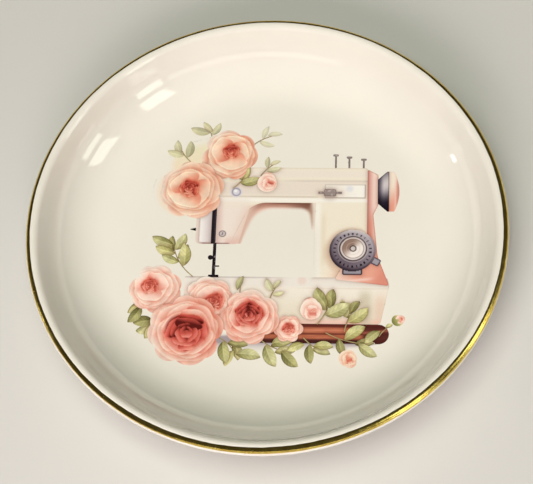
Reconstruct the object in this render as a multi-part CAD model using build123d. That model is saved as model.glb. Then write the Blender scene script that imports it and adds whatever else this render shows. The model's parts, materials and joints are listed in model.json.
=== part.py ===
"""Round porcelain trinket dish with a gilt lip and a printed picture in its well.

Millimetres, +Z up. The origin is the centre of the foot ring's rest face. The dish is a turned form, so
its body, glaze and gilt line are revolved sections. The picture is a fired transfer: each motif is a thin
film of ink on the flat of the well, and no two films overlap.
"""

from build123d import *
import math
import os

# Dish
DIAMETER = 100.0
HEIGHT = 16.5
THICKNESS = 2.9
WELL_RADIUS = 34.0
WELL_TOP = 5.0
WALL_SLOPE = 66.0

# Foot ring
FOOT_OUTER_RADIUS = 33.0
FOOT_INNER_RADIUS = 29.6
FOOT_ROOT_FILLET = 0.8
FOOT_EDGE_FILLET = 0.7

# Coats
GLAZE = 0.25
GLAZE_EDGE = 0.9
GILT = 0.1
GILT_FROM = 36.0
GILT_TO = 78.0
GILT_ARCS = 8
INK = 0.1

# The smallest patch of ink worth keeping, where one motif nearly hides another, in square millimetres.
SMALLEST_PATCH = 0.15

# Worked out from the sizes above
LIP_RADIUS = THICKNESS / 2
LIP_CENTRE = (DIAMETER / 2 - LIP_RADIUS, HEIGHT - LIP_RADIUS)
BASE_UNDERSIDE = WELL_TOP - THICKNESS

# The picture, with +Y as its top. Roses: x, y, radius, number of outer petals, turn in degrees.
ROSES = {
    "large": (-16.6, -19.2, 8.0, 8, 10),
    "middle": (-3.4, -16.0, 6.3, 7, 30),
    "small": (4.8, -18.6, 3.1, 6, 0),
    "left": (-23.4, -9.8, 5.6, 7, 20),
    "rear": (-12.2, -12.0, 5.2, 7, 45),
    "upper_front": (-16.9, 13.6, 7.0, 8, 15),
    "upper_rear": (-9.2, 22.2, 6.2, 7, 40),
}

# A rose's lobes: their size as a share of its radius, how much that varies, how far a lobe strays from its
# even place in degrees, and how fast both come and go from one lobe to the next in radians.
LOBE_SIZE = 0.43
LOBE_VARIATION = 0.08
LOBE_STRAY = 7.0
LOBE_RHYTHM = 2.4

# Buds: x, y, radius, direction of the tip in degrees.
BUDS = {
    "arm": (-0.8, 15.4, 2.5, 80),
    "bed": (9.4, -14.2, 2.7, 100),
    "low": (17.2, -25.0, 2.2, -60),
    "right": (27.4, -16.4, 1.5, 25),
}

# Sprays: root, tip, sideways bow, number of leaf pairs, leaf length, leaf width.
SPRAYS = {
    "top_left": ((-17.0, 20.0), (-20.6, 25.8), 0.6, 1, 4.8, 2.1),
    "top": ((-13.0, 25.6), (-15.2, 30.4), -0.4, 1, 4.2, 1.8),
    "top_right": ((-4.6, 24.2), (2.2, 27.4), 0.7, 1, 4.2, 1.5),
    "arm": ((-8.0, 14.2), (-4.6, 19.4), -0.5, 1, 4.6, 2.1),
    "arm_tip": ((-2.2, 17.2), (2.0, 20.8), 0.4, 1, 3.2, 1.3),
    "sprig": ((-15.8, -6.8), (-20.4, 2.6), 1.2, 3, 5.2, 2.4),
    "far_left": ((-24.0, -13.6), (-29.0, -15.4), -0.6, 1, 5.0, 2.4),
    "low_left": ((-22.0, -16.5), (-27.0, -19.4), 0.4, 1, 4.2, 2.4),
    "bottom_left": ((-10.4, -20.4), (-5.4, -25.8), 0.9, 2, 5.4, 2.6),
    "bottom": ((-1.6, -20.4), (6.4, -23.6), -1.0, 2, 5.4, 2.6),
    "bottom_right": ((8.0, -20.6), (13.6, -24.2), -0.5, 1, 5.0, 2.3),
    "bed_left": ((-5.6, -10.6), (-5.0, -6.6), 0.2, 0, 4.4, 1.7),
    "bed_front": ((0.6, -12.2), (3.0, -7.6), 0.3, 1, 3.4, 1.5),
    "bed_middle": ((10.8, -17.4), (14.0, -9.4), -0.6, 1, 5.8, 2.9),
    "bed_right": ((16.4, -19.0), (19.6, -12.2), 0.5, 1, 5.0, 2.4),
    "wood": ((12.6, -19.4), (22.6, -21.6), -0.8, 2, 5.0, 2.3),
    "right": ((23.6, -20.0), (26.4, -17.4), 0.3, 0, 2.0, 1.2),
}

# Leaves on a spray: how far they spread from the stem in degrees, how much fuller one side is, and how the
# size and direction of one leaf differ from the next.
LEAF_SPREAD = 44.0
LEAF_CURL = 0.16
LEAF_SIZE_VARIATION = 0.16
LEAF_STRAY = 12.0
LEAF_RHYTHM = 2.1
STALK_WIDTH = 0.24

# Machine: the outlines of its arm, head, column, bed and base
ARM_TOP = 19.2
ARM_BOTTOM = 10.6
COLUMN_LEFT = 9.6
COLUMN_RIGHT = 20.8
COLUMN_FLARE = 1.4
HEAD_LEFT = -15.6
HEAD_RIGHT = -6.6
HEAD_BOTTOM = 0.8
BED_LEFT = -17.4
BED_RIGHT = 25.2
BED_TOP = -6.8
BED_BOTTOM = -17.4
BED_TAPER = 1.4
BED_EDGE_Y = -8.6
BASE_LEFT = -2.4
BASE_RIGHT = 25.6
BASE_BOTTOM = -21.8

# Machine: the arch under the arm, the shaded edge inside it, and the radii of soft and crisp corners
ARCH_LEAN = 2.6
ARCH_RADIUS = 5.0
SHADE = 1.6
SHADE_BOTTOM = 1.2
LAP = 0.1
SOFT_CORNER = 1.0
CRISP_CORNER = 0.4

# Machine: the column's side, which is flared where it meets the bed
SIDE_WIDTH = 2.3
SIDE_NECK = 1.3
SHOULDER_Y = 17.6
NECK_Y = 8.0
FLARE_Y = -1.8
FLARE_RADIUS = 6.0
FLARE_LEFT = 14.2

# Machine: the needle, its clamp screw, its thread guide and the presser foot
NEEDLE_X = -11.4
SLIT_WIDTH = 1.0
SLIT_HEIGHT = 9.0
BAR_WIDTH = 0.7
CLAMP = (-12.2, -2.4, 0.55)
GUIDE = (-10.9, -4.4, 1.3, 0.3)
PRESSER_FOOT = (2.2, 0.6)

# Machine: the plate on the head, the stitch dial, the reverse lever, the thread pins and the foot lifter
PLATE = (-13.6, 5.4, 2.6, 8.6)
DIAL = (17.9, 0.0)
DIAL_RING = (17.8, -0.4)
DIAL_RADIUS = 4.9
DIAL_CAP_RADIUS = 2.7
DIAL_TAB = (4.2, 1.7)
DIAL_THUMB = (3.2, 1.7)
DIAL_THUMB_TURN = -28.0
LEVER = (12.8, 13.2)
LEVER_SLOT = (5.0, 0.5)
LEVER_THUMB = (2.6, 1.7)
PINS = (13.9, 16.8, 19.9)
PIN_WIDTH = 0.4
PIN_HEIGHT = 3.1
PIN_DROP = 0.5
PIN_CAP = (1.2, 0.5)
LIFTER_LENGTH = 1.6
LIFTER_WIDTH = 0.8
LIFTER_Y = 4.2

# Machine: the handwheel, seen from its edge
WHEEL_LEFT = 23.0
WHEEL_CENTRE_Y = 13.6
WHEEL_HEIGHT = 9.6
WHEEL_HUB_WIDTH = 2.4
WHEEL_RIM_WIDTH = 2.2

# Washes behind the picture: x, y, half length, half width, turn in degrees.
SHADOW_WASHES = ((5.0, -21.4, 19.0, 2.2, 0), (-6.0, -22.2, 9.0, 2.4, 0))
PEACH_WASHES = ((-15.4, 21.4, 7.6, 4.4, 20), (-19.0, 13.2, 6.4, 6.8, 0))


def dish_section():
    """Half the glazed dish, as radius and height."""
    slope = math.radians(WALL_SLOPE)
    along = (math.cos(slope), math.sin(slope))
    lip_inside = (
        LIP_CENTRE[0] - LIP_RADIUS * along[1],
        LIP_CENTRE[1] + LIP_RADIUS * along[0],
    )
    corner = lip_inside[0] - (lip_inside[1] - WELL_TOP) / math.tan(slope)
    bend = (corner - WELL_RADIUS) / math.tan(slope / 2)

    well = Line((0, WELL_TOP), (WELL_RADIUS, WELL_TOP))
    inner_bend = JernArc(well @ 1, (1, 0), bend, WALL_SLOPE)
    inner_wall = Line(inner_bend @ 1, lip_inside)
    lip = JernArc(lip_inside, along, LIP_RADIUS, -180)
    back = (-along[0], -along[1])
    outer_wall = PolarLine(lip @ 1, inner_wall.length, WALL_SLOPE + 180)
    outer_bend = JernArc(outer_wall @ 1, back, bend + THICKNESS, -WALL_SLOPE)
    base = Line(outer_bend @ 1, (0, BASE_UNDERSIDE))
    axis = Line((0, BASE_UNDERSIDE), (0, WELL_TOP))
    return make_face([well, inner_bend, inner_wall, lip, outer_wall, outer_bend, base, axis])


def foot_section():
    """The foot ring's section, with its two lower edges rounded."""
    width = FOOT_OUTER_RADIUS - FOOT_INNER_RADIUS
    middle = (FOOT_OUTER_RADIUS + FOOT_INNER_RADIUS) / 2
    ring = Pos(middle, BASE_UNDERSIDE / 2) * Rectangle(width, BASE_UNDERSIDE)
    rest_corners = ring.vertices().group_by(Axis.Y)[0]
    return fillet(rest_corners, FOOT_EDGE_FILLET)


def half_plane():
    """The region outside the axis, below the lip's top."""
    return Pos(DIAMETER / 2, HEIGHT / 2) * Rectangle(DIAMETER, 2 * HEIGHT)


def round_foot_roots(section):
    """Round the two inside corners where the foot ring leaves the base."""
    roots = [v for v in section.vertices() if is_foot_root(v)]
    return fillet(roots, FOOT_ROOT_FILLET)


def is_foot_root(vertex):
    """Whether a corner of the section is where the foot ring meets the base."""
    on_base = abs(vertex.Y - BASE_UNDERSIDE) < 1e-6
    radii = (FOOT_INNER_RADIUS, FOOT_OUTER_RADIUS)
    return on_base and any(abs(vertex.X - radius) < 1e-6 for radius in radii)


def coat_sections():
    """The body's section, and the glaze's two sections: the outside and inside of the dish, and the recess."""
    glazed = round_foot_roots(dish_section() + foot_section())
    whole = glazed + mirror(glazed, Plane.YZ)
    inner = offset(whole, -GLAZE) & half_plane()
    rest = glazed & (Pos(DIAMETER / 2, 0) * Rectangle(DIAMETER, 2 * GLAZE_EDGE))
    body = inner + rest
    coats = (glazed - body).faces().sort_by(lambda face: face.area)
    return body, coats[-1], coats[0]


def turned(section):
    """A solid of revolution about the dish's axis."""
    return revolve(Plane.XZ * section, Axis.Z)


def gilt_section():
    """The gilt line's section: a thin arc on the outer shoulder of the lip."""
    sweep = GILT_TO - GILT_FROM
    inner = CenterArc(LIP_CENTRE, LIP_RADIUS, GILT_FROM, sweep)
    outer = CenterArc(LIP_CENTRE, LIP_RADIUS + GILT, GILT_FROM, sweep)
    return make_face([inner, Line(inner @ 1, outer @ 1), outer, Line(outer @ 0, inner @ 0)])


def gilt_line():
    """The gilt line, as equal arcs that meet end to end."""
    arc = revolve(Plane.XZ * gilt_section(), Axis.Z, 360 / GILT_ARCS)
    return Compound(children=[Rot(0, 0, i * 360 / GILT_ARCS) * arc for i in range(GILT_ARCS)])


def rose(x, y, radius, petals, turn):
    """A rose's outline: a disc ringed by round petal lobes, some fuller than others."""
    outline = Circle(0.8 * radius)
    for i in range(petals):
        swing = math.sin(LOBE_RHYTHM * i)
        spin = Rot(0, 0, turn + i * 360 / petals + LOBE_STRAY * swing)
        lobe = (LOBE_SIZE + LOBE_VARIATION * swing) * radius
        outline += spin * Pos(radius - lobe, 0) * Circle(lobe)
    return Pos(x, y) * outline


def bud(x, y, radius, direction):
    """A bud's outline: an egg, narrow at its tip."""
    egg = Circle(0.85 * radius) + Pos(0.45 * radius, 0) * Circle(0.6 * radius)
    return Pos(x, y) * Rot(0, 0, direction) * egg


def leaf(root, direction, length, width, curl):
    """A leaf's outline: two arcs that meet in a point at each end, one fuller than the other by its curl."""
    upper = ThreePointArc((0, 0), (0.45 * length, (0.5 + curl) * width), (length, 0))
    lower = ThreePointArc((length, 0), (0.45 * length, (curl - 0.5) * width), (0, 0))
    return Pos(*root) * Rot(0, 0, direction) * make_face([upper, lower])


def spray_stem(root, tip, bow):
    """The arc that a spray's stem follows."""
    run = Vector(*tip) - Vector(*root)
    middle = (Vector(*root) + Vector(*tip)) / 2
    side = Vector(-run.Y, run.X).normalized() * bow
    return ThreePointArc(Vector(*root), middle + side, Vector(*tip))


def heading(stem, along):
    """The direction of a stem at a share of its length, in degrees."""
    tangent = stem % along
    return math.degrees(math.atan2(tangent.Y, tangent.X))


def spray_leaves(root, tip, bow, pairs, length, width):
    """Leaves in pairs along a stem, smaller towards the tip, and one leaf at the tip."""
    stem = spray_stem(root, tip, bow)
    leaves = []
    for i in range(pairs):
        along = 0.35 + 0.4 * i / max(pairs - 1, 1)
        size = 1 - 0.2 * along
        for side in (-1, 1):
            swing = math.sin(LEAF_RHYTHM * (2 * i + side) + root[0])
            grow = size * (1 + LEAF_SIZE_VARIATION * swing)
            spot = stem @ (along + 0.06 * side)
            turn = heading(stem, along) + side * LEAF_SPREAD + LEAF_STRAY * swing
            leaves.append(leaf((spot.X, spot.Y), turn, grow * length, grow * width, side * LEAF_CURL))
    start = stem @ 1 - (stem % 1) * length * 0.8
    leaves.append(leaf((start.X, start.Y), heading(stem, 1), 0.8 * length, 0.8 * width, LEAF_CURL))
    return leaves


def spray_stalk(root, tip, bow):
    """The stem itself, as a thin line of ink."""
    return SlotArc(spray_stem(root, tip, bow), STALK_WIDTH)


def rounded(corners):
    """A polygon from corners given as x, y and the radius that rounds the corner."""
    outline = make_face(Polyline(*[(x, y) for x, y, _ in corners], close=True))
    for x, y, radius in corners:
        outline = fillet(outline.vertices().sort_by_distance((x, y, 0))[0], radius)
    return outline


def block(x, y, width, height, radius=0.0):
    """A rectangle with its middle at a point, and round corners where it has a radius."""
    outline = RectangleRounded(width, height, radius) if radius else Rectangle(width, height)
    return Pos(x, y) * outline


def machine_body():
    """The machine's arm, column and head, as one outline with the arch cut out of it."""
    return rounded([
        (HEAD_LEFT, ARM_TOP, 2 * SOFT_CORNER),
        (HEAD_LEFT, HEAD_BOTTOM, SOFT_CORNER),
        (HEAD_RIGHT, HEAD_BOTTOM, SOFT_CORNER),
        (HEAD_RIGHT + ARCH_LEAN, ARM_BOTTOM, ARCH_RADIUS),
        (COLUMN_LEFT, ARM_BOTTOM, 1.5 * SOFT_CORNER),
        (COLUMN_LEFT, BED_TOP, CRISP_CORNER),
        (COLUMN_RIGHT + COLUMN_FLARE, BED_TOP, CRISP_CORNER),
        (COLUMN_RIGHT, NECK_Y, SOFT_CORNER),
        (COLUMN_RIGHT, ARM_TOP, CRISP_CORNER),
    ])


def machine_side():
    """The column's side: a shoulder behind the handwheel, a narrow neck, and a flare where it meets the bed."""
    shoulder = COLUMN_RIGHT + SIDE_WIDTH
    return rounded([
        (COLUMN_RIGHT, SHOULDER_Y + SIDE_NECK, CRISP_CORNER / 2),
        (shoulder, SHOULDER_Y, CRISP_CORNER),
        (shoulder, NECK_Y + SIDE_WIDTH, SOFT_CORNER),
        (COLUMN_RIGHT + SIDE_NECK, NECK_Y, SOFT_CORNER),
        (COLUMN_RIGHT + SIDE_WIDTH, FLARE_Y, FLARE_RADIUS),
        (BED_RIGHT + CRISP_CORNER, BED_EDGE_Y, CRISP_CORNER),
        (FLARE_LEFT, BED_TOP - CRISP_CORNER, CRISP_CORNER),
        (FLARE_LEFT + COLUMN_FLARE, (FLARE_Y + BED_TOP) / 2, SOFT_CORNER),
        (COLUMN_RIGHT, FLARE_Y, SOFT_CORNER),
    ])


def arch_shade():
    """The shaded inner edge of the arch, under the arm and down the head. It laps the body's outline."""
    low, high = HEAD_BOTTOM + LAP, ARM_BOTTOM + LAP
    return rounded([
        (HEAD_RIGHT - SHADE, low, CRISP_CORNER / 2),
        (HEAD_RIGHT + SHADE / 2, low, CRISP_CORNER),
        (HEAD_RIGHT + ARCH_LEAN + SHADE, ARM_BOTTOM - SHADE, ARCH_RADIUS),
        (COLUMN_LEFT - SHADE, ARM_BOTTOM - SHADE, 2 * SOFT_CORNER),
        (COLUMN_LEFT + LAP, SHADE_BOTTOM, CRISP_CORNER),
        (COLUMN_LEFT + 2 * LAP, high, LAP),
        (HEAD_RIGHT + ARCH_LEAN - LAP, high, ARCH_RADIUS),
    ])


def head_plate():
    """The pale plate at the left of the head."""
    return block(*PLATE, radius=CRISP_CORNER)


def needle_bar():
    """The dark slit, the needle bar below it, its clamp screw and thread guide, and the presser foot."""
    x, y, radius = CLAMP
    slit = block(NEEDLE_X - CRISP_CORNER, HEAD_BOTTOM + SLIT_HEIGHT / 2, SLIT_WIDTH, SLIT_HEIGHT)
    bar = block(NEEDLE_X, (HEAD_BOTTOM + BED_TOP) / 2, BAR_WIDTH, HEAD_BOTTOM - BED_TOP + CRISP_CORNER)
    foot = block(NEEDLE_X, BED_TOP + LAP, *PRESSER_FOOT, radius=LAP)
    return slit + bar + Pos(x, y) * Circle(radius) + block(*GUIDE) + foot


def dial_ring():
    """The stitch dial's dark ring, with a tab below it and a thumb piece at its right."""
    tab = Pos(0, -DIAL_RADIUS) * RectangleRounded(*DIAL_TAB, CRISP_CORNER)
    thumb = Rot(0, 0, DIAL_THUMB_TURN) * Pos(DIAL_RADIUS, 0) * RectangleRounded(*DIAL_THUMB, CRISP_CORNER)
    return Pos(*DIAL_RING) * (Circle(DIAL_RADIUS) + tab + thumb)


def dial_cap():
    """The dial's pale round cap."""
    return Pos(*DIAL) * Circle(DIAL_CAP_RADIUS)


def wheel_hub():
    """The handwheel's dark cone."""
    half = WHEEL_HEIGHT / 2
    right = WHEEL_LEFT + WHEEL_HUB_WIDTH
    flat = right - CRISP_CORNER
    outline = [
        (WHEEL_LEFT, WHEEL_CENTRE_Y - 0.6 * half),
        (WHEEL_LEFT, WHEEL_CENTRE_Y + 0.6 * half),
        (flat, WHEEL_CENTRE_Y + half),
        (right, WHEEL_CENTRE_Y + half),
        (right, WHEEL_CENTRE_Y - half),
        (flat, WHEEL_CENTRE_Y - half),
    ]
    return make_face(Polyline(*outline, close=True))


def wheel_rim():
    """The handwheel's rounded rim, seen from its edge."""
    left = WHEEL_LEFT + WHEEL_HUB_WIDTH
    half = WHEEL_HEIGHT / 2
    edge = Line((left, WHEEL_CENTRE_Y - half), (left, WHEEL_CENTRE_Y + half))
    flat = WHEEL_RIM_WIDTH / 2
    top = Line(edge @ 1, edge @ 1 + (flat, 0))
    foot = Line(edge @ 0, edge @ 0 + (flat, 0))
    crown = ThreePointArc(top @ 1, (left + WHEEL_RIM_WIDTH, WHEEL_CENTRE_Y), foot @ 1)
    return make_face([edge, top, crown, foot])


def thread_pins():
    """Three thread pins on top of the arm, each with its own cap."""
    pins = Sketch()
    for i, x in enumerate(PINS):
        height = PIN_HEIGHT - PIN_DROP * i
        pins += block(x, ARM_TOP + height / 2, PIN_WIDTH, height)
        pins += block(x, ARM_TOP + height, *PIN_CAP, radius=PIN_WIDTH / 2)
    return pins


def lever():
    """The reverse lever: a thin slot with a short thumb piece in it."""
    return block(*LEVER, *LEVER_SLOT, radius=LAP) + block(*LEVER, *LEVER_THUMB, radius=CRISP_CORNER)


def machine_bed():
    """The machine's bed, a long block that tapers in below."""
    return rounded([
        (BED_LEFT, BED_TOP, CRISP_CORNER),
        (BED_RIGHT, BED_TOP, CRISP_CORNER),
        (BED_RIGHT + CRISP_CORNER, BED_EDGE_Y, CRISP_CORNER),
        (BED_RIGHT - BED_TAPER, BED_BOTTOM, SOFT_CORNER),
        (BED_LEFT, BED_BOTTOM, SOFT_CORNER),
    ])


def wooden_base():
    """The wooden base under the bed, with a round end."""
    radius = (BED_BOTTOM - BASE_BOTTOM) / 2
    middle = (BED_BOTTOM + BASE_BOTTOM) / 2
    end = BASE_RIGHT - radius
    return block((BASE_LEFT + end) / 2, middle, end - BASE_LEFT, 2 * radius) + Pos(end, middle) * Circle(radius)


def foot_lifter():
    """The short dark lever at the left of the head, which tapers to its tip."""
    root = HEAD_LEFT + LAP
    return rounded([
        (root - LIFTER_LENGTH, LIFTER_Y, LAP),
        (root, LIFTER_Y + LIFTER_WIDTH / 2, LAP),
        (root, LIFTER_Y - LIFTER_WIDTH / 2, LAP),
    ])


def wash(blots):
    """A pale wash, from overlapping blots."""
    outline = Sketch()
    for x, y, length, width, turn in blots:
        outline += Pos(x, y) * Rot(0, 0, turn) * Ellipse(length, width)
    return outline


def motifs():
    """Every motif's outlines, from the front of the picture to the back."""
    layers = {f"print_rose_{name}": [rose(*spec)] for name, spec in ROSES.items()}
    layers.update({f"print_bud_{name}": [bud(*spec)] for name, spec in BUDS.items()})
    layers.update({f"print_leaves_{name}": spray_leaves(*spec) for name, spec in SPRAYS.items()})
    layers["print_stems"] = [spray_stalk(*spec[:3]) for spec in SPRAYS.values()]
    layers["print_dial_cap"] = [dial_cap()]
    layers["print_dial_ring"] = [dial_ring()]
    layers["print_lever"] = [lever()]
    layers["print_needle_bar"] = [needle_bar()]
    layers["print_head_plate"] = [head_plate()]
    layers["print_handwheel_hub"] = [wheel_hub()]
    layers["print_handwheel_rim"] = [wheel_rim()]
    layers["print_machine_side"] = [machine_side()]
    layers["print_arch_shade"] = [arch_shade()]
    layers["print_machine_body"] = [machine_body()]
    layers["print_thread_pins"] = [thread_pins()]
    layers["print_machine_bed"] = [machine_bed()]
    layers["print_foot_lifter"] = [foot_lifter()]
    layers["print_wooden_base"] = [wooden_base()]
    layers["print_shadow_wash"] = [wash(SHADOW_WASHES)]
    layers["print_peach_wash"] = [wash(PEACH_WASHES)]
    return layers


def patches(outline, in_front):
    """What shows of an outline behind the outlines in front of it, without specks."""
    shown = outline
    for other in in_front:
        if shown.bounding_box().overlaps(other.bounding_box()):
            shown = shown - other
    return [face for face in shown.faces() if face.area > SMALLEST_PATCH]


def ink_films():
    """Each motif as a thin film on the well, cut round the motifs in front of it."""
    films = {}
    in_front = []
    for name, outlines in motifs().items():
        films[name] = []
        for outline in outlines:
            faces = patches(outline, in_front)
            films[name] += [extrude(Pos(0, 0, WELL_TOP) * face, INK) for face in faces]
            in_front.append(outline)
    return films


def main():
    os.makedirs("parts", exist_ok=True)
    body, glaze, recess_glaze = coat_sections()
    parts = {
        "dish_body": turned(body),
        "glaze_coat": turned(glaze),
        "underside_glaze": turned(recess_glaze),
        "gilt_rim_line": gilt_line(),
    }
    for name, films in ink_films().items():
        parts[name] = Compound(children=films) if len(films) > 1 else films[0]
    for name, shape in parts.items():
        export_step(shape, f"parts/{name}.step")


main()
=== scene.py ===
"""The looks of a printed porcelain trinket dish, built round its CAD model.

Everything is in metres in the CAD frame. Outlines and colours are worked out in millimetres and scaled by MM
when a mesh is made. The dish, its glaze and its gilt line are turned meshes. Each motif of the picture is a
thin film cut to the outline of its CAD node, with its inks painted point by point.
"""

import json
import math

import bpy
import numpy as np
from mathutils import Matrix, Vector
from mathutils.geometry import delaunay_2d_cdt
from mathutils.kdtree import KDTree


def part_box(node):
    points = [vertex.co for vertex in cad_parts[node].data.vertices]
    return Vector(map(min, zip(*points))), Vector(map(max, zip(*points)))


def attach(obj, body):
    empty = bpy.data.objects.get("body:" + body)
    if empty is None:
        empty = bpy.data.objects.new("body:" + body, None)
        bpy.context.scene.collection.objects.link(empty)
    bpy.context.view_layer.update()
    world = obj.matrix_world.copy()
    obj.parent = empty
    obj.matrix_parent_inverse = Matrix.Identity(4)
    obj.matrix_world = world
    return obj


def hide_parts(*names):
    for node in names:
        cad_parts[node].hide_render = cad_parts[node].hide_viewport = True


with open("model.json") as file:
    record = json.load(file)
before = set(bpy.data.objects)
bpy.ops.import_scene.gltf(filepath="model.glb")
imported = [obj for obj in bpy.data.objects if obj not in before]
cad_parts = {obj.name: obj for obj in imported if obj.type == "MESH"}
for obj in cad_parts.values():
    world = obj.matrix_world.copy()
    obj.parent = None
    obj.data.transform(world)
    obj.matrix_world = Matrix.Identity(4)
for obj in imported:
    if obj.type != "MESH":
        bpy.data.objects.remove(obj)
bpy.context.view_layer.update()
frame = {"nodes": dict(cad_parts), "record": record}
MM = 0.001

# The dish's section, in millimetres
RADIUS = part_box("glaze_coat")[1].x / MM
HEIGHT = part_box("glaze_coat")[1].z / MM
WELL_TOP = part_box("print_rose_large")[0].z / MM
THICKNESS = 2.9
WELL_RADIUS = 34.0
WALL_SLOPE = math.radians(66)
FOOT_OUTER_RADIUS = 33.0
FOOT_INNER_RADIUS = 29.6
FOOT_ROOT_FILLET = 0.8
FOOT_EDGE_FILLET = 0.7
GLAZE = 0.25
GLAZE_EDGE = 0.9
LIP_RADIUS = THICKNESS / 2
LIP_CENTRE = (RADIUS - LIP_RADIUS, HEIGHT - LIP_RADIUS)
BASE_UNDERSIDE = WELL_TOP - THICKNESS

# How finely the turned meshes are divided, and how sharp an edge has to be to show
TURN_STEPS = 384
GILT_STEPS = 960
GILT_ACROSS = 13
SHARP_ANGLE = math.radians(40)

# The gilt line on the lip's outer shoulder: its edges in degrees, how much further each one goes where the
# line is widest, and how far its middle stands up and its underside sinks in, in millimetres
GILT_LOW, GILT_HIGH = 38, 76
GILT_LOW_SPREAD, GILT_HIGH_SPREAD = 16, 6
GILT_SWELL, GILT_SINK = 0.028, 0.02

# The films of ink, in millimetres
FILM = 0.025
FILM_SINK = 0.02
FILM_STEP = 0.16
FILM_TAPER = 0.5
WASH_TAPER = 3.0
FAR_AWAY = 99.0

# The soft shadow on a film along the films in front of it: how strong, how far in millimetres, and its tint
CONTACT_SHADOW = 0.34
CONTACT_REACH = 0.36
CONTACT_TINT = (0.58, 0.42, 0.38)

# The azimuth and elevation of each window pane, in degrees
WINDOW_PANES = [(50, 8), (52, 36), (82, 6), (84, 33)]

# The glaze's own colour
GLAZE_TONE = np.array([0.80, 0.77, 0.70])


# ---------------------------------------------------------------- camera, light and floor

def add_object(name, data):
    """A new object in the scene."""
    made = bpy.data.objects.new(name, data)
    bpy.context.scene.collection.objects.link(made)
    return made


def towards(azimuth, elevation):
    """The direction from the dish at an azimuth and an elevation in degrees: azimuth 0 is its front."""
    turn, lift = math.radians(azimuth), math.radians(elevation)
    return Vector((
        math.sin(turn) * math.cos(lift),
        -math.cos(turn) * math.cos(lift),
        math.sin(lift),
    ))


def add_camera():
    """The camera: 400 mm away, 64 degrees above the table, a little to the right and rolled."""
    azimuth, elevation, roll = 8.0, 63.97, math.radians(6.65)
    distance = 0.40
    target = Vector((0, 0, 0.012))
    framing = Vector((-0.00004, -0.00183))

    back = towards(azimuth, elevation)
    level_right = towards(azimuth + 90, 0)
    level_up = back.cross(level_right)
    right = level_right * math.cos(roll) - level_up * math.sin(roll)
    up = level_right * math.sin(roll) + level_up * math.cos(roll)

    data = bpy.data.cameras.new("camera")
    data.lens = 129.7
    data.sensor_width = 36
    data.clip_start = 0.01
    camera = add_object("camera", data)
    turn = Matrix((right, up, back)).transposed().to_4x4()
    place = target + back * distance + right * framing.x + up * framing.y
    camera.matrix_world = Matrix.Translation(place) @ turn
    bpy.context.scene.camera = camera


def add_softbox(name, azimuth, elevation, distance, size, power, colour):
    """A soft rectangular light that faces the dish from an azimuth and an elevation in degrees."""
    data = bpy.data.lights.new(name, "AREA")
    data.shape = "RECTANGLE"
    data.size, data.size_y = size
    data.energy = power
    data.color = colour
    light = add_object(name, data)
    light.location = towards(azimuth, elevation) * distance
    light.rotation_euler = towards(azimuth, elevation).to_track_quat("Z", "Y").to_euler()
    return light


def add_lights():
    """A soft key from the front and low, a soft overhead, a dim warm surround, and window panes that only the
    glaze and the gilt mirror."""
    add_softbox("key", -8, 38, 0.6, (0.38, 0.25), 2.75, (1.0, 0.88, 0.90)).visible_glossy = False
    add_softbox("overhead", -25, 77, 2.4, (1.5, 1.5), 40.0, (0.97, 1.0, 0.88)).visible_glossy = False
    mirrored = [add_softbox("front_strip", 5, 15, 1.0, (1.4, 0.20), 0.9, (1.0, 0.97, 0.84))]
    for azimuth, elevation in WINDOW_PANES:
        name = f"pane_{azimuth}_{elevation}"
        mirrored.append(add_softbox(name, azimuth, elevation, 1.0, (0.20, 0.34), 0.72, (0.94, 1.0, 0.86)))
    mirrored.append(add_softbox("slit", -89, 11, 1.0, (0.05, 0.14), 0.12, (0.95, 0.98, 1.0)))
    for light in mirrored:
        light.visible_diffuse = False
    add_surround()
    bpy.context.scene.view_settings.view_transform = "Standard"


def add_surround():
    """A dim warm surround, with a plain pale backdrop that is only seen and lights nothing."""
    world = bpy.data.worlds.new("surround")
    world.use_nodes = True
    tree = world.node_tree
    surround = tree.nodes["Background"]
    surround.inputs["Color"].default_value = (1.0, 0.93, 0.64, 1)
    surround.inputs["Strength"].default_value = 0.05
    backdrop = tree.nodes.new("ShaderNodeBackground")
    backdrop.inputs["Color"].default_value = (0.46, 0.45, 0.43, 1)
    ray = tree.nodes.new("ShaderNodeLightPath")
    mix = tree.nodes.new("ShaderNodeMixShader")
    tree.links.new(ray.outputs["Is Camera Ray"], mix.inputs["Fac"])
    tree.links.new(surround.outputs["Background"], mix.inputs[1])
    tree.links.new(backdrop.outputs["Background"], mix.inputs[2])
    tree.links.new(mix.outputs["Shader"], tree.nodes["World Output"].inputs["Surface"])
    bpy.context.scene.world = world


def add_floor():
    """A plain pale floor under the dish."""
    half = 3.0
    mesh = bpy.data.meshes.new("floor")
    corners = [(-half, -half, 0), (half, -half, 0), (half, half, 0), (-half, half, 0)]
    mesh.from_pydata(corners, [], [(0, 1, 2, 3)])
    floor = add_object("floor", mesh)
    material, shader, _ = new_material("floor")
    shader.inputs["Base Color"].default_value = (0.62, 0.61, 0.59, 1)
    shader.inputs["Roughness"].default_value = 0.7
    mesh.materials.append(material)


# ---------------------------------------------------------------- materials

def new_material(name):
    """A node material with its shader and its node tree."""
    material = bpy.data.materials.new(name)
    material.use_nodes = True
    tree = material.node_tree
    return material, tree.nodes["Principled BSDF"], tree


def noise(tree, scale, detail=2.0, roughness=0.5):
    """A noise texture on the object's own coordinates."""
    coordinates = tree.nodes.new("ShaderNodeTexCoord")
    texture = tree.nodes.new("ShaderNodeTexNoise")
    texture.inputs["Scale"].default_value = scale
    texture.inputs["Detail"].default_value = detail
    texture.inputs["Roughness"].default_value = roughness
    tree.links.new(coordinates.outputs["Object"], texture.inputs["Vector"])
    return texture.outputs["Fac"]


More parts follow.
